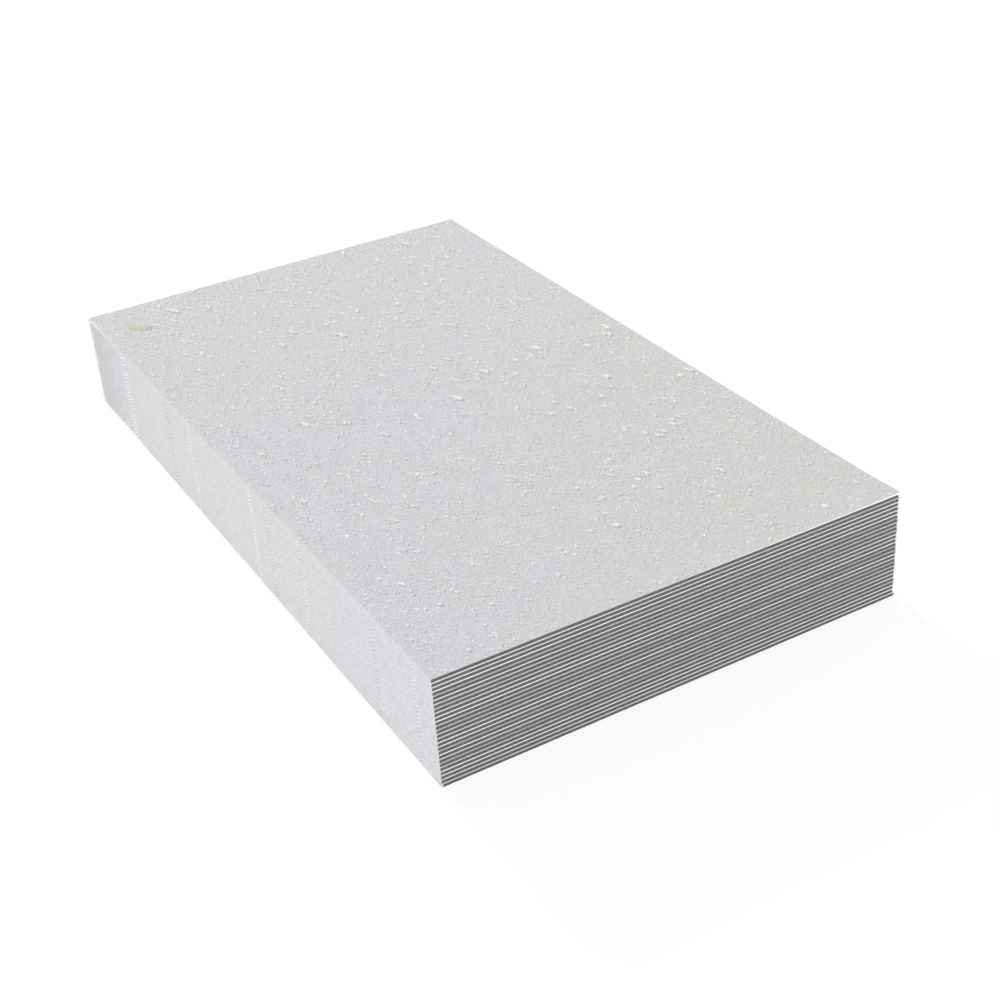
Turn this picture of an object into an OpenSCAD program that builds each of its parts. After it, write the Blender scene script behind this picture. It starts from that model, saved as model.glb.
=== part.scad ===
// Stack of thin ceiling boards. Each board is a dark core with a white facing
// over its top that wraps both long edges, and its short ends are sawn flush,
// so that they show the core between the lines of the facings.
// X runs across the boards, Y along them and Z up through the stack. The
// origin is the centre of the stack's underside.

/* [Board] */
// Length of a board, between its sawn ends
board_l = 1050; // [300:10:2500]
// Width of a board, over its wrapped long edges
board_w = 600; // [200:10:1250]
// Thickness of the core
core_t = 3.8; // [2:0.1:30]
// Radius of the core's two upper shoulders, which the facing is folded over
shoulder_r = 1.2; // [0.3:0.1:1.8]

/* [Facing] */
// Thickness of the facing on top of the core
facing_t = 1.4; // [0.5:0.1:6]
// Thickness of the facing where it wraps a long edge
wrap_t = 1.6; // [0.5:0.1:6]
// Radius of the facing's outer arrises, at most concentric with the shoulders
arris_r = 0.8; // [0.3:0.1:2.4]

/* [Stack] */
// Boards in the stack
board_count = 26; // [1:1:29]
// Gap that the rough facing keeps below the board that lies on it
bedding_gap = 0.15; // [0.05:0.05:0.6]
// How far the boards stray from flush, each way
stray = 0.1; // [0:0.1:3]
// How far the bottom board stands out to the side
bottom_out = 1.5; // [0:0.5:10]

/* [Hidden] */
$fn = 48;
// How far a cutting shape runs past the faces that it cuts
through = 1;
// Turn from one board's stray to the next one's, so that no pattern shows
stray_turn = 137.5;

core_w = board_w - 2 * wrap_t;
board_t = core_t + facing_t;
pitch = board_t + bedding_gap;
outer_r = min(arris_r, shoulder_r + min(facing_t, wrap_t));

function two_digits(i) = str(i < 10 ? "0" : "", i);
function core_name(i) = str("core_", two_digits(i));
function facing_name(i) = str("facing_", two_digits(i));

// Where each board lies, counted from the bottom board, before centring
lay_x = [for (i = [1:board_count]) stray * sin(i * stray_turn) + (i == 1 ? bottom_out : 0)];
lay_y = [for (i = [1:board_count]) stray * cos(i * stray_turn)];
mid_x = (max(lay_x) + min(lay_x)) / 2;
mid_y = (max(lay_y) + min(lay_y)) / 2;

// A strip's section: flat below, with both upper corners rounded
module section(w, t, r) {
    translate([-w / 2, 0]) square([w, t - r]);
    translate([r - w / 2, 0]) square([w - 2 * r, t]);
    for (side = [-1, 1])
        translate([side * (w / 2 - r), t - r]) circle(r);
}

// Draws a section out along the board, between its sawn ends
module run_along() {
    translate([0, board_l / 2, 0]) rotate([90, 0, 0])
        linear_extrude(board_l) children();
}

// Puts a board in its place in the stack
module lay(i) {
    translate([lay_x[i - 1] - mid_x, lay_y[i - 1] - mid_y, (i - 1) * pitch]) children();
}

module core(i) {
    color("dimgray")
        lay(i) run_along() section(core_w, core_t, shoulder_r);
}

module facing(i) {
    color("whitesmoke")
        lay(i) run_along() difference() {
            section(board_w, board_t, outer_r);
            translate([0, -through]) section(core_w, core_t + through, shoulder_r);
        }
}

for (i = [1:board_count]) {
    core(i);
    facing(i);
}
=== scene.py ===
"""Looks of a flush stack of thin ceiling panels: white nubbly facings over dark sawn cores.

Everything is in metres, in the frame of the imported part: X across the panels,
Y along them and Z up, with the origin under the middle of the stack.
"""

import math

import bpy
import numpy as np
from mathutils import Matrix, Vector


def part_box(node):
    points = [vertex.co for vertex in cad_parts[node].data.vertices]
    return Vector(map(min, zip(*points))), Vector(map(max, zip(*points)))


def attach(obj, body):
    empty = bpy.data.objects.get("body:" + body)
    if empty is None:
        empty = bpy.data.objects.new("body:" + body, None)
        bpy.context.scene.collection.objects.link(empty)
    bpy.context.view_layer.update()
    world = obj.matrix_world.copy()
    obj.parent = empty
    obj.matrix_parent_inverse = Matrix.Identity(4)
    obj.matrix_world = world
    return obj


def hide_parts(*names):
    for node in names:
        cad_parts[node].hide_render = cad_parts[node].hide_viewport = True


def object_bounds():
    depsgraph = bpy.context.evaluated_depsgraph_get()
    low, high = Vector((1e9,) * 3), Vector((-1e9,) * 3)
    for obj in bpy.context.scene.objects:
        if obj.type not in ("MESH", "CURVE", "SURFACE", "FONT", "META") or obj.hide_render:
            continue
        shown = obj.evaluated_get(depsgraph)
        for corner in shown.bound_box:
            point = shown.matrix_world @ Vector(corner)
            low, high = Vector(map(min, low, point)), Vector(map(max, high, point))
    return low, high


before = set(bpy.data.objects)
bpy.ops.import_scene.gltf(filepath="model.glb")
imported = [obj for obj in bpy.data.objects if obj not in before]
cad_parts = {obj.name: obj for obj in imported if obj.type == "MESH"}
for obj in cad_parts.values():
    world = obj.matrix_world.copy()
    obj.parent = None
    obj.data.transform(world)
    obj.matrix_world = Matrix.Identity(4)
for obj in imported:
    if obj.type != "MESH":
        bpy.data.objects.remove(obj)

CAD_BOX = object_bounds()
MM = 0.001
# Seeds of the top's swell, of the nibs and of the lowest panel
SEED = 26
NIB_SEED = SEED + 1
PANEL_SEED = SEED + 100

# ---------------------------------------------------------------- camera

CAMERA_PLACE = Vector((-0.856, -1.746, 1.140))
CAMERA_AIM = Vector((-0.005, -0.143, 0.052))
CAMERA_ROLL = math.radians(-4.25)
# Focal length and width of the sensor, in millimetres
CAMERA_LENS = 61.1
CAMERA_SENSOR = 36.0


def make_camera():
    """The camera looks down on the near left corner, turned slightly about its own axis."""
    data = bpy.data.cameras.new("camera")
    data.lens = CAMERA_LENS
    data.sensor_width = CAMERA_SENSOR
    camera = bpy.data.objects.new("camera", data)
    bpy.context.scene.collection.objects.link(camera)
    look = (CAMERA_AIM - CAMERA_PLACE).to_track_quat("-Z", "Y").to_matrix().to_4x4()
    roll = Matrix.Rotation(CAMERA_ROLL, 4, "Z")
    camera.matrix_world = Matrix.Translation(CAMERA_PLACE) @ look @ roll
    bpy.context.scene.camera = camera


make_camera()

# ---------------------------------------------------------------- sizes, from the frame

CORES = sorted(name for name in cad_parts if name.startswith("core_"))
FACINGS = sorted(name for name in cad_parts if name.startswith("facing_"))
TOP = len(FACINGS) - 1
TOP_LOW, TOP_HIGH = (Vector(corner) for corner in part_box(FACINGS[TOP]))
HALF_WIDTH = (TOP_HIGH.x - TOP_LOW.x) / 2
HALF_LENGTH = (TOP_HIGH.y - TOP_LOW.y) / 2
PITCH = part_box(FACINGS[1])[1][2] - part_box(FACINGS[0])[1][2]

# Radius of the core's shoulders, as in the part, and of the facing's arrises, sharper than there
SHOULDER_R = 1.2 * MM
ARRIS_R = 0.35 * MM

# The nibs of the coat are drawn out along this heading, in degrees from the X axis, and by this much
GRAIN_HEADING = -65
GRAIN_STRETCH = 1.5

# The nibs on the long edges slant down to the far end. The row that stands out most is at this place
EDGE_TILT = math.radians(22)
RUNGS_AT = 382 * MM

# ---------------------------------------------------------------- mesh helpers


def link_mesh(name, verts, faces, materials, face_materials=None, smooth_below=None):
    """A mesh object. face_materials has the slot number of each face, and smooth_below is the angle
    under which edges are shaded smooth."""
    mesh = bpy.data.meshes.new(name)
    mesh.from_pydata(np.asarray(verts).reshape(-1, 3).tolist(), [], faces)
    for material in materials:
        mesh.materials.append(material)
    if face_materials is not None:
        mesh.polygons.foreach_set("material_index", face_materials)
    if smooth_below is not None:
        mesh.polygons.foreach_set("use_smooth", [True] * len(mesh.polygons))
        mesh.set_sharp_from_angle(angle=smooth_below)
    mesh.update()
    piece = bpy.data.objects.new(name, mesh)
    bpy.context.scene.collection.objects.link(piece)
    return piece


def grid_faces(rows, columns, first=0, flip=False):
    """Quads of a grid of points, counted row by row from the point number first."""
    faces = []
    for r in range(rows - 1):
        for c in range(columns - 1):
            a = first + r * columns + c
            quad = (a, a + 1, a + columns + 1, a + columns)
            faces.append(quad[::-1] if flip else quad)
    return faces


def grid_rim(rows, columns):
    """Numbers of the points round the rim of a grid, in order."""
    ring = (
        [(0, c) for c in range(columns)]
        + [(r, columns - 1) for r in range(1, rows)]
        + [(rows - 1, c) for c in range(columns - 2, -1, -1)]
        + [(r, 0) for r in range(rows - 2, 0, -1)]
    )
    return [r * columns + c for r, c in ring]


def waves(rng, count, longest, shortest):
    """A smooth seeded height field: a sum of plane waves, each (x factor, y factor, phase)."""
    length = np.exp(rng.uniform(np.log(shortest), np.log(longest), count))
    heading = rng.uniform(0, 2 * np.pi, count)
    phase = rng.uniform(0, 2 * np.pi, count)
    turn = 2 * np.pi / length
    return np.stack([turn * np.cos(heading), turn * np.sin(heading), phase], axis=1)


def wave_height(field, x, y):
    """The field's height at x and y, mostly -1 to 1."""
    total = sum(np.sin(kx * x + ky * y + phase) for kx, ky, phase in field)
    return total / math.sqrt(2 * len(field))


# ---------------------------------------------------------------- looks, as values

# The coat on top of a facing, from left to right, along its long edges and, as a painted highlight, on
# an arris at the far end
COAT_COOL = (0.664, 0.668, 0.709)
COAT_MID = (0.668, 0.671, 0.684)
COAT_WARM = (0.672, 0.667, 0.660)
COAT_EDGE = (0.708, 0.710, 0.720)
COAT_ARRIS_HIGHLIGHT = (0.830, 0.830, 0.850)

# Nibs and the smaller grains, each pale with cream places
NIB_PALE = (0.868, 0.867, 0.860)
NIB_CREAM = (0.858, 0.847, 0.802)
GRAIN_PALE = (0.925, 0.927, 0.930)
GRAIN_CREAM = (0.915, 0.907, 0.880)

# Chips and the large flake
CHIP_PALE = (0.895, 0.886, 0.850)
CHIP_CREAM = (0.865, 0.848, 0.780)
# Painted shade, in tan, round the foot of chips and of the flake
CHIP_FOOT_SHADE = (0.620, 0.606, 0.548)
CHIP_TOP = (0.850, 0.838, 0.790)
FLAKE_PALE = (0.770, 0.756, 0.690)
FLAKE_CREAM = (0.740, 0.722, 0.640)
FLAKE_TOP = (0.625, 0.606, 0.530)

# The wrapped long edges, and the painted shade on the lower part and painted highlight on the upper
# part of their nibs
EDGE_COOL = (0.742, 0.747, 0.780)
EDGE_LILAC = (0.750, 0.745, 0.778)
EDGE_MID = (0.750, 0.750, 0.752)
EDGE_PINK = (0.758, 0.748, 0.752)
EDGE_STRAW = (0.754, 0.752, 0.742)
EDGE_NIB_PAINTED_SHADE = (0.580, 0.590, 0.625)
EDGE_NIB_PAINTED_HIGHLIGHT = (0.900, 0.900, 0.915)

# The sawn ends of facings and cores
SAWN_WHITE = (0.980, 0.975, 0.970)
SAWN_GREY = (0.540, 0.537, 0.540)
CORE_DARK = (0.121, 0.118, 0.120)
CORE_MID = (0.150, 0.147, 0.150)
CORE_LIGHT = (0.188, 0.183, 0.184)
# Factors on the core's grey in its cool, even and warm stripes
CORE_COOL = (0.985, 1.0, 1.015)
CORE_EVEN = (1.0, 0.99, 1.0)
CORE_WARM = (1.07, 1.01, 0.96)

# About how many of each there are to the metre
COAT_PEBBLES = 430
COAT_GRAIN = 700
COAT_MOTTLE = 760
COAT_STAINS = 32
COAT_CLOUDS = 2.6
RIM_TURNS = 40
LUMP_GRAIN = 800
LUMP_MOTTLE = 900
LUMP_SHADES = 170
NIB_CREAMS = 26
CHIP_CREAMS = 7
EDGE_DOTS = 560
EDGE_SCRATCHES = 450
EDGE_STAINS = 40
EDGE_DASHES = 70
BAND_TURNS = 14
SAW_MARKS = 900
LAYER_PATCHES = 190
CORE_STREAKS = 300
CORE_STRIPES = 60
CORE_PITS = 1100

# Relief that is only shaded, each (height, strength)
PEBBLE_BUMP = (1.0 * MM, 0.85)
COAT_BUMP = (0.8 * MM, 0.7)
NIB_BUMP = (0.4 * MM, 0.3)
CHIP_BUMP = (0.4 * MM, 0.4)
SCRATCH_BUMP = (0.3 * MM, 0.3)
DOT_BUMP = (1.0 * MM, 0.5)
EDGE_NIB_BUMP = (0.3 * MM, 0.3)
SAWN_BUMP = (0.3 * MM, 0.4)
TOP_END_BUMP = (0.3 * MM, 0.3)
PIT_BUMP = (0.5 * MM, 0.7)
STREAK_BUMP = (0.5 * MM, 0.5)

# Roughness, and how much the faces shine
MATT = 0.85
SAWN_MATT = 0.8
CORE_MATT = 0.9
SHINE = 0.25
CORE_SHINE = 0.2

# Ripples to a pebble, the share of them that bends its place, and how wide it is against its cell
PEBBLE_RIPPLES = 0.7
PEBBLE_BEND = 0.004
PEBBLE_WIDE = 0.75

# Noise above which nibs and chips start to be cream, and how much more it takes to make them wholly so
NIB_CREAM_FROM = 0.42
CHIP_CREAM_FROM = 0.34
CREAM_FADE = 0.18

# The coat's warmth: its base, what its clouds add to it, and how it leans to the right near end
COAT_HEAT = 0.22
COAT_CLOUD = 0.5
COAT_LEAN = 0.62
# The pale rim along the top's long edges: how far its border wanders, and where it fades in, out from
# the middle and with the wander added
RIM_WAVE = 3 * MM
RIM_FROM = HALF_WIDTH - 0.5 * MM
RIM_FULL = HALF_WIDTH + 1.5 * MM
# The painted highlight on the arrises: where it fades in, out from the middle and along the board
ARRIS_HIGHLIGHT_OUT_FROM = HALF_WIDTH - 1.3 * MM
ARRIS_HIGHLIGHT_OUT_FULL = HALF_WIDTH - 0.9 * MM
ARRIS_HIGHLIGHT_FROM = 460 * MM
ARRIS_HIGHLIGHT_FULL = 490 * MM

# Heights over the top facing: where the painted shade at a chip's foot ends, and where its top's colour
# fades in
FOOT_SHADE_END = 0.7 * MM
DULL_FROM = 1.5 * MM
DULL_FULL = 1.9 * MM

# Faint upright bands of tint on the long sides: (place in millimetres along the board, tint)
BANDS = (
    (-510, EDGE_LILAC), (-450, EDGE_LILAC), (-420, EDGE_COOL), (-300, EDGE_COOL), (-270, EDGE_STRAW),
    (-240, EDGE_MID), (30, EDGE_MID), (50, EDGE_PINK), (70, EDGE_MID), (150, EDGE_STRAW),
    (190, EDGE_MID), (350, EDGE_MID), (375, EDGE_COOL), (405, EDGE_COOL), (430, EDGE_MID),
    (460, EDGE_LILAC), (490, EDGE_LILAC), (510, EDGE_MID),
)
# How far the bands' borders wander
BAND_WAVE = 50 * MM
# From where to where, along the board, the dashed painted shade at the joints of the long sides becomes
# unbroken lines
JOINT_SHADE_FROM = 500 * MM
JOINT_SHADE_FULL = 520 * MM

# How far out from the long side the painted shade and highlight of its nibs fade in
NIB_SHADE_FROM = 0.30 * MM
NIB_SHADE_FULL = 0.65 * MM

# How far in from its left edge a facing's sawn end begins to be skinned over, and where it wholly is
FOLD_FROM = 3.5 * MM
FOLD_FULL = 2.0 * MM
# From where to where, across the board, a painted highlight turns the top facing's end white
END_HIGHLIGHT_FROM = -40 * MM
END_HIGHLIGHT_FULL = 130 * MM
# How strongly the cores' ends turn warm to the right, for each metre
CORE_LEAN = 0.28

# ---------------------------------------------------------------- materials


class Nodes:
    """Short names for building one material's node tree."""

    def __init__(self, name):
        self.material = bpy.data.materials.new(name)
        self.material.use_nodes = True
        self.tree = self.material.node_tree
        self.shader = self.tree.nodes["Principled BSDF"]
        self.place = self.add("ShaderNodeTexCoord").outputs["Object"]

    def add(self, kind, inputs=(), **settings):
        """A node with its settings and inputs. An input is a value or another node's output."""
        node = self.tree.nodes.new(kind)
        for key, value in settings.items():
            setattr(node, key, value)
        for key, value in dict(inputs).items():
            self.set(node.inputs[key], value)
        return node

    def set(self, socket, value):
        """Links or sets one input. A colour may be given without its alpha."""
        if isinstance(value, bpy.types.NodeSocket):
            self.tree.links.new(value, socket)
        elif socket.type == "RGBA" and len(value) == 3:
            socket.default_value = (*value, 1)
        else:
            socket.default_value = value

    def noise(self, scale, detail=2.0, roughness=0.5, stretch=(1, 1, 1), offset=(0, 0, 0), out="Fac"):
        """Noise from 0 to 1, about scale spots to the metre. A stretch under 1 draws them out."""
        placed = {"Vector": self.place, "Scale": stretch, "Location": offset}
        mapped = self.add("ShaderNodeMapping", placed).outputs[0]
        look = {"Vector": mapped, "Scale": scale, "Detail": detail, "Roughness": roughness}
        return self.add("ShaderNodeTexNoise", look).outputs[out]

    def axis(self, letter):
        """The place along one axis, in metres."""
        return self.add("ShaderNodeSeparateXYZ", {"Vector": self.place}).outputs[letter]

    def math(self, operation, *values):
        """One operation on values."""
        return self.add("ShaderNodeMath", dict(enumerate(values)), operation=operation).outputs[0]

    def span(self, value, low, high):
        """value from low to high, as 0 to 1."""
        node = self.add("ShaderNodeMapRange", {"Value": value, "From Min": low, "From Max": high})
        return node.outputs[0]

    def pebbles(self, scale):
        """Rounded bumps side by side, about scale of them to the metre, drawn out along the grain."""
        turned = {
            "Vector": self.place,
            "Rotation": (0, 0, math.radians(GRAIN_HEADING)),
            "Scale": (GRAIN_STRETCH, 1, 1),
        }
        grain = self.add("ShaderNodeMapping", turned, vector_type="TEXTURE").outputs[0]
        ripple = {"Vector": grain, "Scale": scale * PEBBLE_RIPPLES, "Detail": 1.0}
        wobble = self.add("ShaderNodeTexNoise", ripple).outputs["Color"]
        bent = self.mix(PEBBLE_BEND, grain, wobble)
        cells = self.add("ShaderNodeTexVoronoi", {"Vector": bent, "Scale": scale}, feature="SMOOTH_F1")
        return self.ramp(cells.outputs["Distance"], [(0.0, 1.0), (PEBBLE_WIDE, 0.0)])

    def ramp(self, value, stops):
        """stops is a list of (position, grey or colour)."""
        node = self.add("ShaderNodeValToRGB", {"Fac": value})
        elements = node.color_ramp.elements
        while len(elements) < len(stops):
            elements.new(0.5)
        for element, (position, colour) in zip(elements, stops):
            element.position = position
            element.color = (*colour, 1) if isinstance(colour, tuple) else (colour, colour, colour, 1)
        return node.outputs["Color"]

    def mix(self, factor, a, b, blend="MIX"):
        """a and b blended, by factor from 0 to 1."""
        node = self.add("ShaderNodeMix", data_type="RGBA", blend_type=blend)
        self.set(node.inputs[0], factor)
        self.set(node.inputs[6], a)
        self.set(node.inputs[7], b)
        return node.outputs[2]

    def times(self, a, b):
        """Two colours multiplied."""
        return self.mix(1.0, a, b, "MULTIPLY")

    def bump(self, field, height, strength, under=None):
        """The normal of a field of heights from 0 to 1, on top of another normal."""
        shape = {"Height": field, "Distance": height, "Strength": strength}
        node = self.add("ShaderNodeBump", shape)
        if under is not None:
            self.set(node.inputs["Normal"], under)
        return node.outputs["Normal"]

    def finish(self, colour, roughness, normal, shine=SHINE):
        """The material, with all its inputs set."""
        self.set(self.shader.inputs["Base Color"], colour)
        self.set(self.shader.inputs["Roughness"], roughness)
        self.set(self.shader.inputs["Normal"], normal)
        self.shader.inputs["Specular IOR Level"].default_value = shine
        return self.material


def stain(n, colour, scale, strength, stretch=(1, 1, 1)):
    """Faint cloudiness over a colour, in each of its channels by itself and half as strong in green."""
    cloud = n.noise(scale, detail=1.0, stretch=stretch, out="Color")
    # The noise is 0.5 on average, and so every channel comes to 1 on average
    evened = n.mix(1.0, n.times(cloud, (2, 1, 2)), (0, 0.5, 0), "ADD")
    return n.mix(strength, colour, evened, "MULTIPLY")


def coat_tint(n):
    """Cool at the left and warm at the right near end, with slow clouds."""
    clouds = n.noise(COAT_CLOUDS, detail=1.0, offset=(0.3, 0.1, 0.0))
    slow = n.math("MULTIPLY_ADD", clouds, COAT_CLOUD, COAT_HEAT)
    nearness = n.math("SUBTRACT", TOP_HIGH.y, n.axis("Y"))
    lean = n.math("MULTIPLY", n.axis("X"), nearness)
    heat = n.math("MULTIPLY_ADD", lean, COAT_LEAN, slow)
    return n.ramp(heat, [(0.36, COAT_COOL), (0.50, COAT_MID), (0.64, COAT_WARM)])


def pale_rims(n, tint):
    """Paler along the long edges of the top, and palest on the arrises at the far end, where a
    highlight is painted.
    """
    out = n.math("ABSOLUTE", n.axis("X"))
    wavy = n.math("MULTIPLY_ADD", n.noise(RIM_TURNS), RIM_WAVE, out)
    rimmed = n.mix(n.span(wavy, RIM_FROM, RIM_FULL), tint, COAT_EDGE)
    arris = n.span(out, ARRIS_HIGHLIGHT_OUT_FROM, ARRIS_HIGHLIGHT_OUT_FULL)
    # Painted highlight on the top's arrises towards the far end
    painted_arris_highlight = n.math("MULTIPLY", arris, n.span(n.axis("Y"), ARRIS_HIGHLIGHT_FROM, ARRIS_HIGHLIGHT_FULL))
    return n.mix(painted_arris_highlight, rimmed, COAT_ARRIS_HIGHLIGHT)


def make_coat():
    """The top of a facing: matt mineral coat, pebbled all over at two millimetres or so."""
    n = Nodes("facing_coat")
    mottle = n.ramp(n.noise(COAT_MOTTLE, roughness=0.6), [(0.30, 0.93), (0.70, 1.065)])
    tint = stain(n, pale_rims(n, coat_tint(n)), COAT_STAINS, strength=0.055)
    grain = n.noise(COAT_GRAIN, detail=3.0, roughness=0.7)
    normal = n.bump(n.pebbles(COAT_PEBBLES), *PEBBLE_BUMP, under=n.bump(grain, *COAT_BUMP))
    roughness = n.ramp(grain, [(0.2, 0.80), (0.8, 0.96)])
    return n.finish(n.times(tint, mottle), roughness, normal)


def lump_colour(n, pale, cream, cream_scale, cream_from):
    """Pale, and cream in places, with a fine mottle. The lower cream_from, the more is cream."""
    share = n.span(n.noise(cream_scale, detail=1.0), cream_from, cream_from + CREAM_FADE)
    mottle = n.ramp(n.noise(LUMP_MOTTLE), [(0.3, 0.96), (0.7, 1.03)])
    return n.times(n.mix(share, pale, cream), mottle)


def lump_normal(n, height, strength):
    """The fine grain of a nib or chip."""
    grain = n.noise(LUMP_GRAIN)
    return n.bump(grain, height, strength)


def make_nib(name, pale, cream):
    """Small nibs of the coat, each paler or duller than its neighbours."""
    n = Nodes(name)
    each = n.ramp(n.noise(LUMP_SHADES, detail=1.0), [(0.38, 0.86), (0.64, 1.06)])
    colour = n.times(lump_colour(n, pale, cream, NIB_CREAMS, NIB_CREAM_FROM), each)
    return n.finish(colour, MATT, lump_normal(n, *NIB_BUMP))


def make_chip(name, pale, cream, top):
    """A large chip on the coat: tan painted shade at its foot, pale up its flanks, and duller where it
    is tallest.
    """
    n = Nodes(name)
    # Painted shade round the chip's foot, fading out over its lowest part
    past_foot_shade = n.span(n.axis("Z"), TOP_HIGH.z, TOP_HIGH.z + FOOT_SHADE_END)
    dull = n.span(n.axis("Z"), TOP_HIGH.z + DULL_FROM, TOP_HIGH.z + DULL_FULL)
    flank = lump_colour(n, pale, cream, CHIP_CREAMS, CHIP_CREAM_FROM)
    colour = n.mix(dull, n.mix(past_foot_shade, CHIP_FOOT_SHADE, flank), top)
    return n.finish(colour, MATT, lump_normal(n, *CHIP_BUMP))


def edge_tint(n):
    """The long sides' bands of tint, faintly clouded."""
    wavy = n.math("MULTIPLY_ADD", n.noise(BAND_TURNS), BAND_WAVE, n.axis("Y"))
    along = n.span(wavy, TOP_LOW.y + BAND_WAVE / 2, TOP_HIGH.y + BAND_WAVE / 2)
    length = 2 * HALF_LENGTH / MM
    tint = n.ramp(along, [(0.5 + place / length, colour) for place, colour in BANDS])
    return stain(n, tint, EDGE_STAINS, strength=0.02, stretch=(1, 1, 0.2))


def with_joint_shade(n, colour):
    """Painted shade where two panels meet, here and there along the joint and all along it at the far
    end.
    """
    beat = n.math("FRACT", n.math("DIVIDE", n.axis("Z"), PITCH))
    # Painted shade in the joints between panels
    joint_shade = n.ramp(beat, [(0.0, 0.90), (0.20, 1.01), (0.80, 1.01), (1.0, 0.90)])
    dashes = n.noise(EDGE_DASHES, detail=1.0, stretch=(1, 1, 2.5))
    dashed_shade = n.ramp(dashes, [(0.42, 0.1), (0.60, 1.0)])
    dashed_shade = n.math("MAXIMUM", dashed_shade, n.span(n.axis("Y"), JOINT_SHADE_FROM, JOINT_SHADE_FULL))
    return n.mix(dashed_shade, colour, n.times(colour, joint_shade))


def make_edge():
    """The wrapped long edge of a facing: smoother than the top, with dots, upright scratches and
    painted shade where panels meet.
    """
    n = Nodes("facing_edge")
    scratch = n.noise(EDGE_SCRATCHES, stretch=(1, 1, 0.03))
    streak = n.ramp(scratch, [(0.3, 0.98), (0.7, 1.01)])
    dots = n.noise(EDGE_DOTS, detail=1.0, stretch=(1, 0.45, 1))
    spots = n.ramp(dots, [(0.30, 0.89), (0.50, 1.01), (0.70, 1.065)])
    normal = n.bump(scratch, *SCRATCH_BUMP, under=n.bump(dots, *DOT_BUMP))
    colour = with_joint_shade(n, n.times(edge_tint(n), streak))
    return n.finish(n.times(colour, spots), MATT, normal)


def make_edge_nib():
    """A nib on a long edge: painted shade along its lower side and a painted highlight above, if it
    stands out far.
    """
    n = Nodes("facing_edge_nib")
    past = n.math("SUBTRACT", n.axis("Y"), RUNGS_AT)
    raised = n.math("MULTIPLY_ADD", past, math.tan(EDGE_TILT), n.axis("Z"))
    beat = n.math("FRACT", n.math("DIVIDE", raised, PITCH))
    # Painted shade on each nib's lower part and a painted highlight on its upper part
    shade = n.mix(n.span(beat, 0.34, 0.42), EDGE_NIB_PAINTED_SHADE, EDGE_NIB_PAINTED_HIGHLIGHT)
    out = n.math("ABSOLUTE", n.axis("X"))
    far_out = n.span(out, HALF_WIDTH + NIB_SHADE_FROM, HALF_WIDTH + NIB_SHADE_FULL)
    return n.finish(n.mix(far_out, EDGE_MID, shade), MATT, lump_normal(n, *EDGE_NIB_BUMP))


def saw_marks(n):
    """Fine upright marks of the saw."""
    return n.noise(SAW_MARKS, stretch=(1, 1, 0.3))


def marked(n, marks, white):
    """A white with saw marks."""
    return n.times(white, n.ramp(marks, [(0.25, 0.92), (0.75, 1.02)]))


def make_sawn_facing():
    """The sawn end of a facing, whiter in some layers, and skinned over at its left fold."""
    n = Nodes("facing_sawn")
    marks = saw_marks(n)
    patchy = n.noise(LAYER_PATCHES, detail=1.0, roughness=0.6, stretch=(0.004, 1, 1))
    white = n.ramp(patchy, [(0.36, SAWN_GREY), (0.60, SAWN_WHITE)])
    fold = n.span(n.axis("X"), TOP_LOW.x + FOLD_FROM, TOP_LOW.x + FOLD_FULL)
    white = n.mix(fold, white, EDGE_MID)
    return n.finish(marked(n, marks, white), SAWN_MATT, n.bump(marks, *SAWN_BUMP))


def make_top_end():
    """The end of the top facing: skinned over like the coat at the left, turned white to the right by a
    painted highlight.
    """
    n = Nodes("facing_top_end")
    marks = saw_marks(n)
    # Painted highlight whitening the top facing's end to the right
    white = n.mix(n.span(n.axis("X"), END_HIGHLIGHT_FROM, END_HIGHLIGHT_FULL), COAT_COOL, SAWN_WHITE)
    return n.finish(marked(n, marks, white), SAWN_MATT, n.bump(marks, *TOP_END_BUMP))


def make_core():
    """The core: dark cement-bonded fibre, cut across, with streaks along each layer."""
    n = Nodes("core_fibre")
    streaks = n.noise(CORE_STREAKS, detail=4.0, roughness=0.7, stretch=(0.35, 0.35, 2.0))
    grey = n.ramp(streaks, [(0.28, CORE_DARK), (0.5, CORE_MID), (0.74, CORE_LIGHT)])
    stripes = n.noise(CORE_STRIPES, stretch=(1, 1, 0.03))
    warmth = n.math("MULTIPLY_ADD", n.axis("X"), CORE_LEAN, stripes)
    tint = n.ramp(warmth, [(0.36, CORE_COOL), (0.50, CORE_EVEN), (0.66, CORE_WARM)])
    pits = n.noise(CORE_PITS)
    normal = n.bump(pits, *PIT_BUMP, under=n.bump(streaks, *STREAK_BUMP))
    return n.finish(n.times(grey, tint), CORE_MATT, normal, shine=CORE_SHINE)


COAT = make_coat()
NIB = make_nib("facing_nib", NIB_PALE, NIB_CREAM)
GRAIN = make_nib("facing_grain", GRAIN_PALE, GRAIN_CREAM)
CHIP = make_chip("facing_chip", CHIP_PALE, CHIP_CREAM, CHIP_TOP)
FLAKE = make_chip("facing_flake", FLAKE_PALE, FLAKE_CREAM, FLAKE_TOP)
EDGE = make_edge()
EDGE_NIB = make_edge_nib()
SAWN_FACING = make_sawn_facing()
TOP_END = make_top_end()
CORE = make_core()

# ---------------------------------------------------------------- panels

# Quads up a facing's side and round a quarter of its arris
SIDE_ROWS = 3
ARC_STEPS = 4
# Quads across a facing and cross-sections along it, for the top one and for the others
TOP_MESH = (80, 176)
PLAIN_MESH = (12, 43)
SMOOTH_PANEL = math.radians(40)
# Materials of a facing's faces, in the order of its slots
ON_COAT, ON_EDGE, ON_END = range(3)

# The long edges wander by about a tenth of a millimetre at most. Either edge reads the field of waves
# this far from its middle, so that each goes its own way
EDGE_WANDER = 0.05 * MM
WANDER_APART = 0.5
# What is taken off a wave's height, mostly -1 to 1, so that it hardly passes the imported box
SUNK = 0.8
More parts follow.
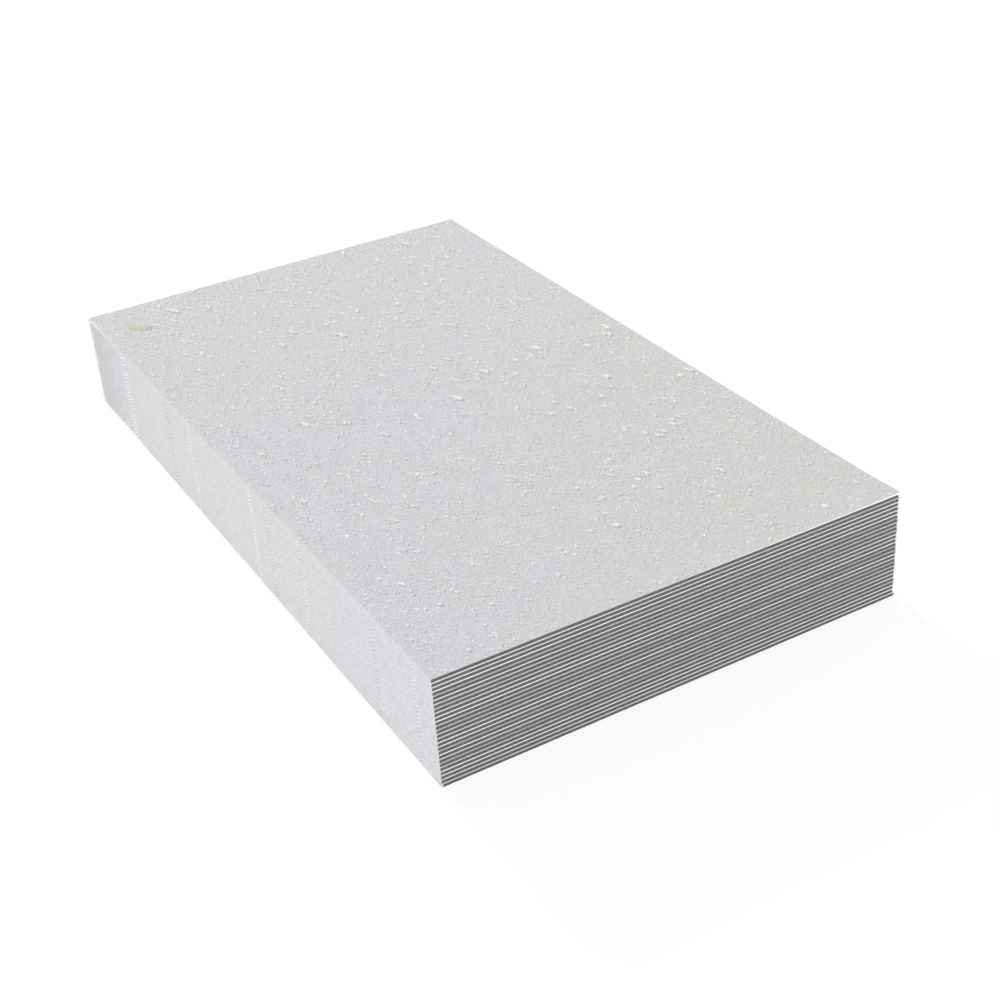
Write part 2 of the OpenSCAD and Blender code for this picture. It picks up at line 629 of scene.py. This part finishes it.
# Towards the far end each panel's edge bulges between its joints: how much at the end, and from where
PINCH = 5.0 * MM
PINCHED_FROM = 380 * MM

# The top's slight swell: how high, the width over which it fades in from the long edges, and its waves
TOP_SWELL = 0.10 * MM
SWELL_MARGIN = 6 * MM
SWELL = waves(np.random.default_rng(SEED), count=24, longest=0.12, shortest=0.02)
# The top facing's right near corner has curled: how far out and up, and over what length and width
EAR_OUT = 1.6 * MM
EAR_UP = 1.2 * MM
EAR_LENGTH = 90 * MM
EAR_WIDTH = 200 * MM

# The sawn end of a core: quads up its height, the width of each, and how deep the saw has torn it
CORE_ROWS = 3
CORE_GRAIN = 4 * MM
CORE_ROUGH = 0.25 * MM


def arch(low, high, radius, columns):
    """Points (x, z) up the left side, round its arris, across the top and down again."""
    side = [(low.x, z) for z in np.linspace(low.z, high.z - radius, SIDE_ROWS, endpoint=False)]
    turn = [
        (low.x + radius * (1 - math.cos(a)), high.z - radius * (1 - math.sin(a)))
        for a in np.linspace(0, math.pi / 2, ARC_STEPS + 1)
    ]
    across = [(x, high.z) for x in np.linspace(low.x + radius, high.x - radius, columns + 1)[1:-1]]
    left = side + turn
    right = [(low.x + high.x - x, z) for x, z in reversed(left)]
    return np.array(left + across + right)


def near_corner(x, y):
    """1 at the top facing's right near corner, falling to 0 over the curl's width and length."""
    across = np.clip(1 - (TOP_HIGH.x - x) / EAR_WIDTH, 0, 1)
    along = np.clip(1 - (y - TOP_LOW.y) / EAR_LENGTH, 0, 1)
    return across * along


def top_rise(x, y):
    """How far the top facing's face stands over its flat plane, by its swell and its curled corner."""
    inside = np.clip((np.minimum(x - TOP_LOW.x, TOP_HIGH.x - x) - ARRIS_R) / SWELL_MARGIN, 0, 1)
    return TOP_SWELL * inside * (wave_height(SWELL, x, y) - SUNK) + EAR_UP * near_corner(x, y) ** 2


def outward(outline, low, high):
    """Which way is out for each point of a facing's outline: -1 or 1 on its long edges, or else 0."""
    off = outline[:, 0] - (low.x + high.x) / 2
    return np.sign(off) * (np.abs(off) > (high.x - low.x) / 2 - ARRIS_R)


def bend_edges(shell, outline, low, high, y, rng):
    """Makes a facing's long edges wander, and bulge towards the far end. Its shell is bent in place."""
    out = outward(outline, low, high)[None, :]
    field = waves(rng, count=9, longest=0.30, shortest=0.06)
    drift = wave_height(field, out * WANDER_APART, y[:, None]) - SUNK
    shell[:, :, 0] += EDGE_WANDER * out * drift
    off_middle = 2 * np.abs(outline[:, 1] - (low.z + high.z) / 2) / (high.z - low.z)
    far = np.clip((y - PINCHED_FROM) / (high.y - PINCHED_FROM), 0, 1)
    shell[:, :, 0] += PINCH * out * (0.5 - off_middle[None, :] ** 2) * far[:, None]


def shape_top(shell, outline, low, high, y):
    """Gives the top facing its swell and its curled corner. Its shell is bent in place."""
    on_face = (outline[:, 1] > high.z - ARRIS_R)[None, :]
    shell[:, :, 2] += on_face * top_rise(outline[None, :, 0], y[:, None])
    on_right = outward(outline, low, high)[None, :] > 0
    shell[:, :, 0] += EAR_OUT * (near_corner(high.x, y) ** 2)[:, None] * on_right


def facing_faces(stations, points):
    """Quads of a facing's outer and inner shell and of what joins them, with the material of each."""
    shell = stations * points
    side = SIDE_ROWS + ARC_STEPS // 2
    strip = [ON_EDGE if min(c, points - 2 - c) < side else ON_COAT for c in range(points - 1)]
    outer = grid_faces(stations, points)
    inner = grid_faces(stations, points, first=shell, flip=True)
    feet, ends = [], []
    for s in range(stations - 1):
        for c, flip in ((0, False), (points - 1, True)):
            a = s * points + c
            quad = (a, a + points, a + points + shell, a + shell)
            feet.append(quad[::-1] if flip else quad)
    for s, flip in ((0, True), (stations - 1, False)):
        for c in range(points - 1):
            a = s * points + c
            quad = (a, a + 1, a + 1 + shell, a + shell)
            ends.append(quad[::-1] if flip else quad)
    kinds = strip * (stations - 1) + [ON_EDGE] * (len(inner) + len(feet)) + [ON_END] * len(ends)
    return outer + inner + feet + ends, kinds


def draw_out(outlines, y):
    """Points of one or more outlines, drawn out along y: a shell for each."""
    verts = np.empty((len(outlines), len(y), len(outlines[0]), 3))
    for shell, outline in zip(verts, outlines):
        shell[:, :, 0] = outline[:, 0]
        shell[:, :, 1] = y[:, None]
        shell[:, :, 2] = outline[:, 1]
    return verts


def make_facing(index, rng):
    """One facing: a thin channel over its core, with uneven edges that reach down to the next panel."""
    name = FACINGS[index]
    low, high = (Vector(c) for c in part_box(name))
    core_low, core_high = (Vector(c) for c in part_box(CORES[index]))
    columns, stations = TOP_MESH if index == TOP else PLAIN_MESH
    if index > 0:
        low.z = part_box(FACINGS[index - 1])[1][2]
    outer = arch(low, high, ARRIS_R, columns)
    inner = arch(core_low, core_high, SHOULDER_R, columns)
    y = np.linspace(low.y, high.y, stations)
    verts = draw_out((outer, inner), y)
    bend_edges(verts[0], outer, low, high, y, rng)
    if index == TOP:
        shape_top(verts[0], outer, low, high, y)
    faces, kinds = facing_faces(stations, len(outer))
    end = TOP_END if index == TOP else SAWN_FACING
    materials = [COAT, EDGE, end]
    piece = link_mesh("panel_" + name, verts, faces, materials, kinds, smooth_below=SMOOTH_PANEL)
    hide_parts(name)
    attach(piece, "root")


def core_end(x, y, inward, low, high, rng):
    """Points of a core's sawn end, under its rounded shoulders, roughened inward from its plane."""
    edge = np.minimum(x - low.x, high.x - x)
    past = np.maximum(SHOULDER_R - edge, 0)
    top = high.z - (SHOULDER_R - np.sqrt(np.maximum(SHOULDER_R**2 - past**2, 0)))
    rows = np.linspace(0, 1, CORE_ROWS + 1)
    z = low.z + rows[:, None] * (top - low.z)[None, :]
    rough = CORE_ROUGH * rng.uniform(0, 1, z.shape)
    rough[:, [0, -1]] = 0
    return np.stack([np.broadcast_to(x, z.shape), y + inward * rough, z], axis=-1)


def make_core_panel(index, rng):
    """One core: the solid's outline, with ends roughened as the saw left them."""
    name = CORES[index]
    low, high = (Vector(c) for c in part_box(name))
    columns = round((high.x - low.x) / CORE_GRAIN)
    x = np.linspace(low.x, high.x, columns + 1)
    near = core_end(x, low.y, 1, low, high, rng)
    far = core_end(x, high.y, -1, low, high, rng)
    grid = (CORE_ROWS + 1, columns + 1)
    per_end = grid[0] * grid[1]
    faces = grid_faces(*grid) + grid_faces(*grid, first=per_end, flip=True)
    loop = grid_rim(*grid)
    for a, b in zip(loop, loop[1:] + loop[:1]):
        faces.append((b, a, a + per_end, b + per_end))
    piece = link_mesh("panel_" + name, np.stack([near, far]), faces, [CORE])
    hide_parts(name)
    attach(piece, "root")


for panel in range(len(FACINGS)):
    panel_rng = np.random.default_rng(PANEL_SEED + panel)
    make_facing(panel, panel_rng)
    make_core_panel(panel, panel_rng)

# ---------------------------------------------------------------- nibs

# How much larger the lumps are at the far end, and the power that makes them sparser there
COARSER = 0.46
SPARSER = 1.05
# The most that a lump stands up
TALLEST = 2.2 * MM
SMOOTH_LUMP = math.radians(75)
# How widely lumps lie across the grain, against along it, where they cluster
CLUSTER_ACROSS = 0.4

# Rings of a dome, each (radius, height), from its foot below the surface upwards
GRAIN_RINGS = ((1.0, -0.22), (0.64, 0.72))
NIB_RINGS = ((1.0, -0.22), (0.74, 0.42), (0.36, 0.90))
CHIP_RINGS = ((1.0, -0.22), (0.90, 0.30), (0.74, 0.84), (0.40, 0.97))


def dome(sides, rings):
    """A unit bump with a flared foot: (points, faces). Its foot is closed and lies below zero."""
    points = []
    for radius, height in rings:
        for k in range(sides):
            a = 2 * math.pi * k / sides
            points.append((radius * math.cos(a), radius * math.sin(a), height))
    points.append((0.0, 0.0, 1.0))
    tip = len(points) - 1
    faces = [tuple(range(sides - 1, -1, -1))]
    for ring in range(len(rings) - 1):
        for k in range(sides):
            a, b = ring * sides + k, ring * sides + (k + 1) % sides
            faces.append((a, b, b + sides, a + sides))
    last = (len(rings) - 1) * sides
    faces += [(last + k, last + (k + 1) % sides, tip) for k in range(sides)]
    return np.array(points), faces


GRAIN_DOME = dome(5, GRAIN_RINGS)
NIB_DOME = dome(8, NIB_RINGS)
CHIP_DOME = dome(9, CHIP_RINGS)


def bumps(rng, unit, lengths, widths, heights, turns, lumpy):
    """Many domes, stretched, turned and made uneven, half as much in height: points and faces."""
    points, faces = unit
    count = len(lengths)
    shape = np.repeat(points[None], count, axis=0)
    shape[..., :2] *= 1 + lumpy * rng.standard_normal((count, len(points), 1))
    shape[..., 2] *= 1 + 0.5 * lumpy * rng.standard_normal((count, len(points)))
    x = shape[..., 0] * lengths[:, None]
    y = shape[..., 1] * widths[:, None]
    z = shape[..., 2] * heights[:, None]
    cos, sin = np.cos(turns)[:, None], np.sin(turns)[:, None]
    local = np.stack([x * cos - y * sin, x * sin + y * cos, z], axis=-1)
    return local, [tuple(v + k * len(points) for v in face) for k in range(count) for face in faces]


def on_top(x, y):
    """Points of the top facing's surface."""
    return np.stack([x, y, TOP_HIGH.z + top_rise(x, y)], axis=-1)


def scatter(rng, count, margin, clustered, spread):
    """Places on the top facing, sparser to the far end. A share is clustered along the grain."""
    half_x = HALF_WIDTH - margin
    half_y = HALF_LENGTH - margin
    x = rng.uniform(-half_x, half_x, count)
    y = half_y * (2 * rng.uniform(0, 1, count) ** SPARSER - 1)
    pulled = int(clustered * count)
    hubs = rng.integers(pulled, count, pulled)
    along = spread * rng.standard_normal(pulled)
    across = spread * CLUSTER_ACROSS * rng.standard_normal(pulled)
    cos, sin = math.cos(math.radians(GRAIN_HEADING)), math.sin(math.radians(GRAIN_HEADING))
    x[:pulled] = x[hubs] + along * cos - across * sin
    y[:pulled] = y[hubs] + along * sin + across * cos
    middle = (TOP_LOW + TOP_HIGH) / 2
    return middle.x + np.clip(x, -half_x, half_x), middle.y + np.clip(y, -half_y, half_y)


def headings(rng, count, astray):
    """Headings of drawn-out lumps in radians, astray from the grain by so many degrees."""
    return np.radians(GRAIN_HEADING + astray * rng.standard_normal(count))


def coarser(y):
    """How many times as large the lumps are at y as at the near end. They coarsen to the far end."""
    return 1 + COARSER * (y - TOP_LOW.y) / (TOP_HIGH.y - TOP_LOW.y)


def nib_piece(name, points, faces, material):
    """Nibs joined as one piece of the facings."""
    piece = link_mesh(name, points, faces, [material], smooth_below=SMOOTH_LUMP)
    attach(piece, "root")


# Fields of single lumps on the top facing
NIBS = {
    "unit": NIB_DOME,
    "radius": 1.12 * MM,  # usual half width at the near end
    "uneven": 0.30,  # spread of the sizes
    "longer": 1.8,  # the most that one is drawn out
    "height": 1.10,  # usual height, against the half width
    "clustered": 0.45,  # share that lies in clusters
    "material": NIB,
}
GRAINS = {
    "unit": GRAIN_DOME,
    "radius": 0.74 * MM,
    "uneven": 0.28,
    "longer": 1.4,
    "height": 1.15,
    "clustered": 0.25,
    "material": GRAIN,
}
NIB_COUNT = 1400
# Grains in each of the two pieces that share them
GRAIN_COUNT = 6800
NIB_MARGIN = 4 * MM
NIB_CLUSTER = 9 * MM
# Least and greatest share of the usual height, how far nibs stray in degrees, and how lumpy they are
NIB_HEIGHTS = (0.6, 1.4)
NIB_ASTRAY = 18
NIB_LUMPY = 0.07


def make_top_nibs(name, rng, count, unit, radius, uneven, longer, height, clustered, material):
    """A field of single lumps on the top facing."""
    x, y = scatter(rng, count, NIB_MARGIN, clustered, NIB_CLUSTER)
    size = radius * coarser(y) * np.exp(uneven * rng.standard_normal(count))
    long = size * rng.uniform(1.0, longer, count)
    tall = np.minimum(height * size * rng.uniform(*NIB_HEIGHTS, count), TALLEST)
    local, faces = bumps(rng, unit, long, size, tall, headings(rng, count, NIB_ASTRAY), NIB_LUMPY)
    nib_piece(name, on_top(x, y)[:, None, :] + local, faces, material)


# The lumps of the one large flake on the top facing: x, y, half length and half width, in millimetres
FLAKE_LUMPS = (
    (-259, 454, 4, 5.0), (-254, 449, 4, 8.0), (-249, 444, 4, 8.0), (-243, 439, 3, 6.0),
)
# Chips that stand out on the top facing, in the same terms
CHIPS = (
    (-256, 465, 4, 1.4), (-251, 461, 5, 1.6), (-247, 456, 5, 1.6), (-242, 449, 4, 1.6),
    (-232, 440, 4, 2.5), (-227, 434, 3, 2.0),
    (-193, 476, 8, 3.5), (-188, 464, 8, 3.5), (-145, 450, 9, 3.0), (-145, 410, 6, 2.5),
    (-40, 440, 7, 3.0), (20, 470, 6, 2.5), (-10, 445, 6, 2.5), (-230, 260, 13, 3.0),
    (-210, 310, 7, 3.0), (-200, 375, 6, 2.5), (-165, 145, 14, 3.0), (-80, 295, 10, 3.5),
    (-110, 265, 7, 3.5), (-30, 245, 11, 4.0), (25, 295, 11, 4.0), (80, 290, 10, 3.5),
    (145, 325, 7, 3.0), (175, 320, 8, 3.5), (195, 480, 8, 4.0), (220, 390, 11, 4.0),
    (205, 375, 8, 3.0), (180, 380, 7, 2.5), (245, 470, 8, 3.0), (220, 10, 14, 4.0),
    (275, 40, 10, 4.0), (265, 20, 8, 3.5), (165, 45, 9, 4.0), (75, 25, 9, 3.5),
    (10, -20, 12, 4.0), (-55, -40, 7, 2.5), (-110, -50, 7, 3.0), (-180, 35, 8, 3.0),
    (-255, -5, 8, 3.0), (-135, 5, 7, 3.0), (-195, -185, 8, 2.0), (-260, -140, 7, 2.5),
    (-30, -200, 5, 2.0), (105, -105, 5, 2.5), (160, -130, 7, 3.0), (195, -85, 6, 3.0),
    (290, -135, 6, 3.0), (160, -255, 6, 2.5), (190, -240, 7, 3.0), (205, -230, 6, 2.5),
    (95, -320, 6, 2.5), (45, -350, 5, 2.0), (20, -340, 4, 2.0), (5, -395, 6, 2.5),
    (130, -400, 6, 2.5), (140, -390, 5, 2.0), (170, -365, 6, 2.5), (-70, -410, 4, 2.0),
    (-140, -355, 4, 2.0), (-245, -360, 5, 2.0), (110, -130, 4, 2.5), (195, -230, 5, 2.5),
    (150, -240, 5, 2.5), (170, -250, 5, 2.5), (80, -270, 5, 2.5), (60, -300, 5, 2.5),
    (90, -355, 4, 2.5), (45, -340, 4, 2.0), (10, -300, 5, 2.5), (25, -335, 4, 2.5),
    (130, 450, 7, 3.0), (115, 370, 7, 3.0), (70, 225, 7, 2.5), (145, 145, 8, 3.0),
    (110, 175, 8, 3.0), (25, 75, 7, 3.0), (55, 85, 6, 2.5), (-40, 95, 7, 3.0),
    (125, 30, 7, 3.0), (105, -5, 7, 2.5), (85, -130, 6, 2.5), (70, -115, 6, 2.5),
)
# Lumps in each clump, and how far from its middle they lie at most, against its half length and width
LUMPS = 5
LUMP_ALONG = 0.75
LUMP_ACROSS = 0.5
# A lump's half width against its clump's, and its half length and height against its half width
LUMP_WIDTHS = (0.55, 0.95)
LUMP_LENGTHS = (1.0, 1.6)
LUMP_HEIGHT = 0.8
# How far clumps stray from the grain, in degrees, and their lumps from them, in radians
CLUMP_ASTRAY = 13
LUMP_ASTRAY = 0.2
LUMP_LUMPY = 0.10
# Small clumps: how many, how they lie, and their least and greatest half length and half width
CLUMP_COUNT = 190
CLUMP_MARGIN = 8 * MM
CLUMP_CLUSTERED = 0.25
CLUMP_CLUSTER = 30 * MM
CLUMP_LENGTHS = (1.6, 4.0)
CLUMP_WIDTHS = (1.1, 1.8)


def make_clumps(name, rng, x, y, half, thin, material):
    """Clumps of lumps on the top facing: their places, half lengths and half widths."""
    turns = headings(rng, len(x), CLUMP_ASTRAY)
    x, y, half, thin, turns = (np.repeat(v, LUMPS) for v in (x, y, half, thin, turns))
    along = LUMP_ALONG * half * rng.uniform(-1, 1, len(x))
    across = LUMP_ACROSS * thin * rng.uniform(-1, 1, len(x))
    x = x + along * np.cos(turns) - across * np.sin(turns)
    y = y + along * np.sin(turns) + across * np.cos(turns)
    wide = thin * rng.uniform(*LUMP_WIDTHS, len(x))
    long = wide * rng.uniform(*LUMP_LENGTHS, len(x))
    tall = np.minimum(LUMP_HEIGHT * wide, TALLEST)
    turns = turns + LUMP_ASTRAY * rng.standard_normal(len(x))
    local, faces = bumps(rng, CHIP_DOME, long, wide, tall, turns, LUMP_LUMPY)
    nib_piece(name, on_top(x, y)[:, None, :] + local, faces, material)


def make_placed_clumps(name, rng, rows, material):
    """Clumps from rows of place, half length and half width, in millimetres."""
    make_clumps(name, rng, *(np.array(rows, dtype=float).T * MM), material)


def make_small_clumps(name, rng, count):
    """Small clumps all over the top facing."""
    x, y = scatter(rng, count, CLUMP_MARGIN, CLUMP_CLUSTERED, CLUMP_CLUSTER)
    half = rng.uniform(*CLUMP_LENGTHS, count) * MM * coarser(y)
    thin = rng.uniform(*CLUMP_WIDTHS, count) * MM * coarser(y)
    make_clumps(name, rng, x, y, half, thin, CHIP)


# Nibs along the long edges, in a row of one nib on each panel: (y, half length, out), in millimetres
EDGE_ROWS = (
    (516, 2.5, 1.0), (475, 3.0, 0.4), (RUNGS_AT / MM, 17.0, 1.3), (218, 7.0, 0.4),
    (135, 5.0, 0.3), (-65, 5.0, 0.3), (-115, 6.0, 0.4), (-208, 5.0, 0.3), (-392, 6.0, 0.4),
    (-486, 5.0, 0.4),
)
EDGE_NIB_WIDE = 1.4 * MM
# How far they stray along the edge, and the least and greatest share of a row's length and height
EDGE_NIB_STRAY = 1.0 * MM
EDGE_NIB_LENGTHS = (0.65, 1.15)
EDGE_NIB_HEIGHTS = (0.6, 1.2)
EDGE_NIB_LUMPY = 0.05
# Room that they keep from the stack's top and underside
EDGE_NIB_ROOM = 1.2 * EDGE_NIB_WIDE


def edge_feet(rng, rows, side):
    """Where the nibs of some rows stand on one long side, row by row and panel by panel."""
    x, z = [], []
    for facing in FACINGS:
        low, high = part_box(facing)
        x.append(high[0] if side > 0 else low[0])
        z.append((low[2] + high[2]) / 2)
    count = len(rows) * len(FACINGS)
    y = np.repeat(rows, len(FACINGS)) + EDGE_NIB_STRAY * rng.standard_normal(count)
    return np.stack([np.tile(x, len(rows)), y, np.tile(z, len(rows))], axis=-1)


def make_edge_nibs(name, rng, side):
    """Rows of nibs up one long side of the stack: side is -1 at the left and 1 at the right."""
    rows, halves, outs = np.array(EDGE_ROWS).T * MM
    feet = edge_feet(rng, rows, side)
    long = np.repeat(halves, len(FACINGS)) * rng.uniform(*EDGE_NIB_LENGTHS, len(feet))
    tall = np.repeat(outs, len(FACINGS)) * rng.uniform(*EDGE_NIB_HEIGHTS, len(feet))
    wide = np.full(len(feet), EDGE_NIB_WIDE)
    room = np.minimum(feet[:, 2] - CAD_BOX[0][2], TOP_HIGH.z - feet[:, 2]) - EDGE_NIB_ROOM
    long = np.minimum(long, room / math.sin(EDGE_TILT))
    turns = np.full(len(feet), -side * EDGE_TILT)
    local, faces = bumps(rng, NIB_DOME, long, wide, tall, turns, EDGE_NIB_LUMPY)
    turned = np.stack([side * local[..., 2], side * local[..., 0], local[..., 1]], axis=-1)
    nib_piece(name, feet[:, None, :] + turned, faces, EDGE_NIB)


nib_rng = np.random.default_rng(NIB_SEED)
make_top_nibs("top_nibs", nib_rng, NIB_COUNT, **NIBS)
make_top_nibs("top_grains_a", nib_rng, GRAIN_COUNT, **GRAINS)
make_top_nibs("top_grains_b", nib_rng, GRAIN_COUNT, **GRAINS)
make_placed_clumps("top_flake", nib_rng, FLAKE_LUMPS, FLAKE)
make_placed_clumps("top_chips", nib_rng, CHIPS, CHIP)
make_small_clumps("top_clumps", nib_rng, CLUMP_COUNT)
make_edge_nibs("edge_nibs_left", nib_rng, -1)
make_edge_nibs("edge_nibs_right", nib_rng, 1)

# ---------------------------------------------------------------- light, floor and finish

WHITE = (1, 1, 1, 1)
SKY_STRENGTH = 0.56
BACKGROUND_STRENGTH = 1.0
# The key lamp stands beyond the far end, the fill before the near left corner, the counter at the right
KEY_STRENGTH = 2.45
KEY_FROM = Vector((0.00, 0.92, 0.38))
KEY_SPREAD = math.radians(12)
FILL_STRENGTH = 2.14
FILL_FROM = Vector((-0.52, -0.68, 0.05))
COUNTER_STRENGTH = 1.00
COUNTER_FROM = Vector((1.00, 0.00, 0.05))
SOFT_SPREAD = math.radians(60)

# The floor, its colour for the light that it gives back, and its colour and glow where it is seen
FLOOR_SIZE = 12.0
FLOOR_COLOUR = (0.86, 0.86, 0.86, 1)
FLOOR_SEEN = (0.22, 0.22, 0.22, 1)
FLOOR_GLOW = 0.82


def seen_directly(tree):
    """1 for rays that show the background: from the camera, in gloss or through glass."""
    path = tree.nodes.new("ShaderNodeLightPath")
    either = path.outputs["Is Camera Ray"]
    for ray in ("Is Glossy Ray", "Is Transmission Ray"):
        most = tree.nodes.new("ShaderNodeMath")
        most.operation = "MAXIMUM"
        tree.links.new(either, most.inputs[0])
        tree.links.new(path.outputs[ray], most.inputs[1])
        either = most.outputs[0]
    return either


def make_world():
    """White behind the object, and a softer even sky for its light."""
    world = bpy.data.worlds.new("studio")
    bpy.context.scene.world = world
    world.use_nodes = True
    tree = world.node_tree
    tree.nodes.clear()
    sky = tree.nodes.new("ShaderNodeBackground")
    sky.inputs["Color"].default_value = WHITE
    sky.inputs["Strength"].default_value = SKY_STRENGTH
    white = tree.nodes.new("ShaderNodeBackground")
    white.inputs["Color"].default_value = WHITE
    white.inputs["Strength"].default_value = BACKGROUND_STRENGTH
    mix = tree.nodes.new("ShaderNodeMixShader")
    out = tree.nodes.new("ShaderNodeOutputWorld")
    tree.links.new(seen_directly(tree), mix.inputs[0])
    tree.links.new(sky.outputs[0], mix.inputs[1])
    tree.links.new(white.outputs[0], mix.inputs[2])
    tree.links.new(mix.outputs[0], out.inputs[0])


def make_sun(name, towards, strength, spread):
    """A distant lamp that stands in the direction towards and is as wide as spread."""
    data = bpy.data.lights.new(name, "SUN")
    data.energy = strength
    data.angle = spread
    lamp = bpy.data.objects.new(name, data)
    lamp.rotation_mode = "QUATERNION"
    lamp.rotation_quaternion = towards.to_track_quat("Z", "Y")
    bpy.context.scene.collection.objects.link(lamp)


def make_floor_white():
    """White for the light that it gives back, and a glow with a faint shadow where it is seen."""
    material = bpy.data.materials.new("floor_white")
    material.use_nodes = True
    tree = material.node_tree
    tree.nodes.clear()
    lit = tree.nodes.new("ShaderNodeBsdfDiffuse")
    lit.inputs["Color"].default_value = FLOOR_COLOUR
    seen = tree.nodes.new("ShaderNodeBsdfDiffuse")
    seen.inputs["Color"].default_value = FLOOR_SEEN
    glow = tree.nodes.new("ShaderNodeEmission")
    glow.inputs["Strength"].default_value = FLOOR_GLOW
    both = tree.nodes.new("ShaderNodeAddShader")
    mix = tree.nodes.new("ShaderNodeMixShader")
    out = tree.nodes.new("ShaderNodeOutputMaterial")
    tree.links.new(seen.outputs[0], both.inputs[0])
    tree.links.new(glow.outputs[0], both.inputs[1])
    tree.links.new(seen_directly(tree), mix.inputs[0])
    tree.links.new(lit.outputs[0], mix.inputs[1])
    tree.links.new(both.outputs[0], mix.inputs[2])
    tree.links.new(mix.outputs[0], out.inputs[0])
    return material


def make_floor():
    """The floor that the stack lies on."""
    half = FLOOR_SIZE / 2
    corners = [(-half, -half, 0), (half, -half, 0), (half, half, 0), (-half, half, 0)]
    floor = link_mesh("floor", corners, [(0, 1, 2, 3)], [make_floor_white()])


make_world()
make_floor()
make_sun("key", KEY_FROM, KEY_STRENGTH, KEY_SPREAD)
make_sun("fill", FILL_FROM, FILL_STRENGTH, SOFT_SPREAD)
make_sun("counter", COUNTER_FROM, COUNTER_STRENGTH, SOFT_SPREAD)

bpy.context.scene.view_settings.view_transform = "Standard"
